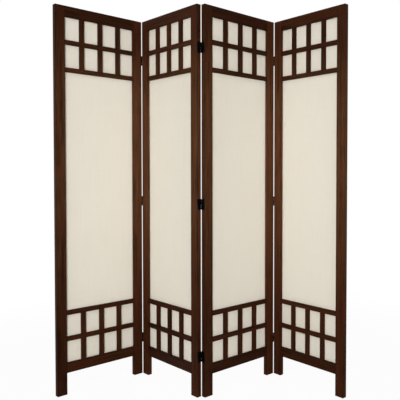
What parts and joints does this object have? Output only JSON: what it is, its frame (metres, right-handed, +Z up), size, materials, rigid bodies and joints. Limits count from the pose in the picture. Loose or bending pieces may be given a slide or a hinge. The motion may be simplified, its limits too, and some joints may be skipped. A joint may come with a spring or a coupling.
{
  "type": "folding room divider",
  "caption": "Folding room divider: framed panels of stretched fabric with lattice panes at top and bottom, joined by two-way screen hinges.",
  "frame": {"origin": "on the floor, in the middle of the box round the screen as it stands folded in a zigzag", "axes": "+Z up; +X along the screen, to the right as the lattice side is seen; +Y away from the viewer, towards the back of the panels"},
  "size_m": [1.331, 0.3372, 1.784],
  "materials": {
    "frame_wood": "satin dark walnut stain",
    "bead_wood": "satin dark walnut stain",
    "woven_fabric": "plain woven natural cotton",
    "black_metal": "satin black",
    "screw_metal": "black oxide"
  },
  "bodies": {
    "panel_1": {"panel1_left_stile": "frame_wood", "panel1_right_stile": "frame_wood", "panel1_top_rail": "frame_wood", "panel1_bottom_rail": "frame_wood", "panel1_upper_crossbar": "frame_wood", "panel1_lower_crossbar": "frame_wood", "panel1_upper_lattice": "frame_wood", "panel1_lower_lattice": "frame_wood", "panel1_fabric": "woven_fabric", "panel1_back_beads": "bead_wood", "panel1_hinge_pins": "black_metal", "panel1_hinge_screws": "screw_metal", "hinge12_left_leaf": "black_metal", "hinge12_lower_link": "black_metal"},
    "panel_2": {"panel2_left_stile": "frame_wood", "panel2_right_stile": "frame_wood", "panel2_top_rail": "frame_wood", "panel2_bottom_rail": "frame_wood", "panel2_upper_crossbar": "frame_wood", "panel2_lower_crossbar": "frame_wood", "panel2_upper_lattice": "frame_wood", "panel2_lower_lattice": "frame_wood", "panel2_fabric": "woven_fabric", "panel2_back_beads": "bead_wood", "panel2_hinge_pins": "black_metal", "panel2_hinge_screws": "screw_metal", "hinge12_right_leaf": "black_metal", "hinge12_upper_link": "black_metal", "hinge23_left_leaf": "black_metal", "hinge23_upper_link": "black_metal"},
    "panel_3": {"panel3_left_stile": "frame_wood", "panel3_right_stile": "frame_wood", "panel3_top_rail": "frame_wood", "panel3_bottom_rail": "frame_wood", "panel3_upper_crossbar": "frame_wood", "panel3_lower_crossbar": "frame_wood", "panel3_upper_lattice": "frame_wood", "panel3_lower_lattice": "frame_wood", "panel3_fabric": "woven_fabric", "panel3_back_beads": "bead_wood", "panel3_hinge_pins": "black_metal", "panel3_hinge_screws": "screw_metal", "hinge23_right_leaf": "black_metal", "hinge23_lower_link": "black_metal", "hinge34_left_leaf": "black_metal", "hinge34_lower_link": "black_metal"},
    "panel_4": {"panel4_left_stile": "frame_wood", "panel4_right_stile": "frame_wood", "panel4_top_rail": "frame_wood", "panel4_bottom_rail": "frame_wood", "panel4_upper_crossbar": "frame_wood", "panel4_lower_crossbar": "frame_wood", "panel4_upper_lattice": "frame_wood", "panel4_lower_lattice": "frame_wood", "panel4_fabric": "woven_fabric", "panel4_back_beads": "bead_wood", "panel4_hinge_pins": "black_metal", "panel4_hinge_screws": "screw_metal", "hinge34_right_leaf": "black_metal", "hinge34_upper_link": "black_metal"}
  },
  "joints": [
    {"name": "fold_1", "type": "hinge", "parent": "panel_2", "child": "panel_1", "pos_m": [-0.33042, 0.15079, 0.892], "axis": [0, 0, 1], "range_deg": [-89, 90]},
    {"name": "fold_2", "type": "hinge", "parent": "panel_2", "child": "panel_3", "pos_m": [0.00394, -0.14885, 0.892], "axis": [0, 0, 1], "range_deg": [-89.5, 89.5]},
    {"name": "fold_3", "type": "hinge", "parent": "panel_3", "child": "panel_4", "pos_m": [0.3383, 0.15079, 0.892], "axis": [0, 0, -1], "range_deg": [-90.5, 88.5]}
  ]
}
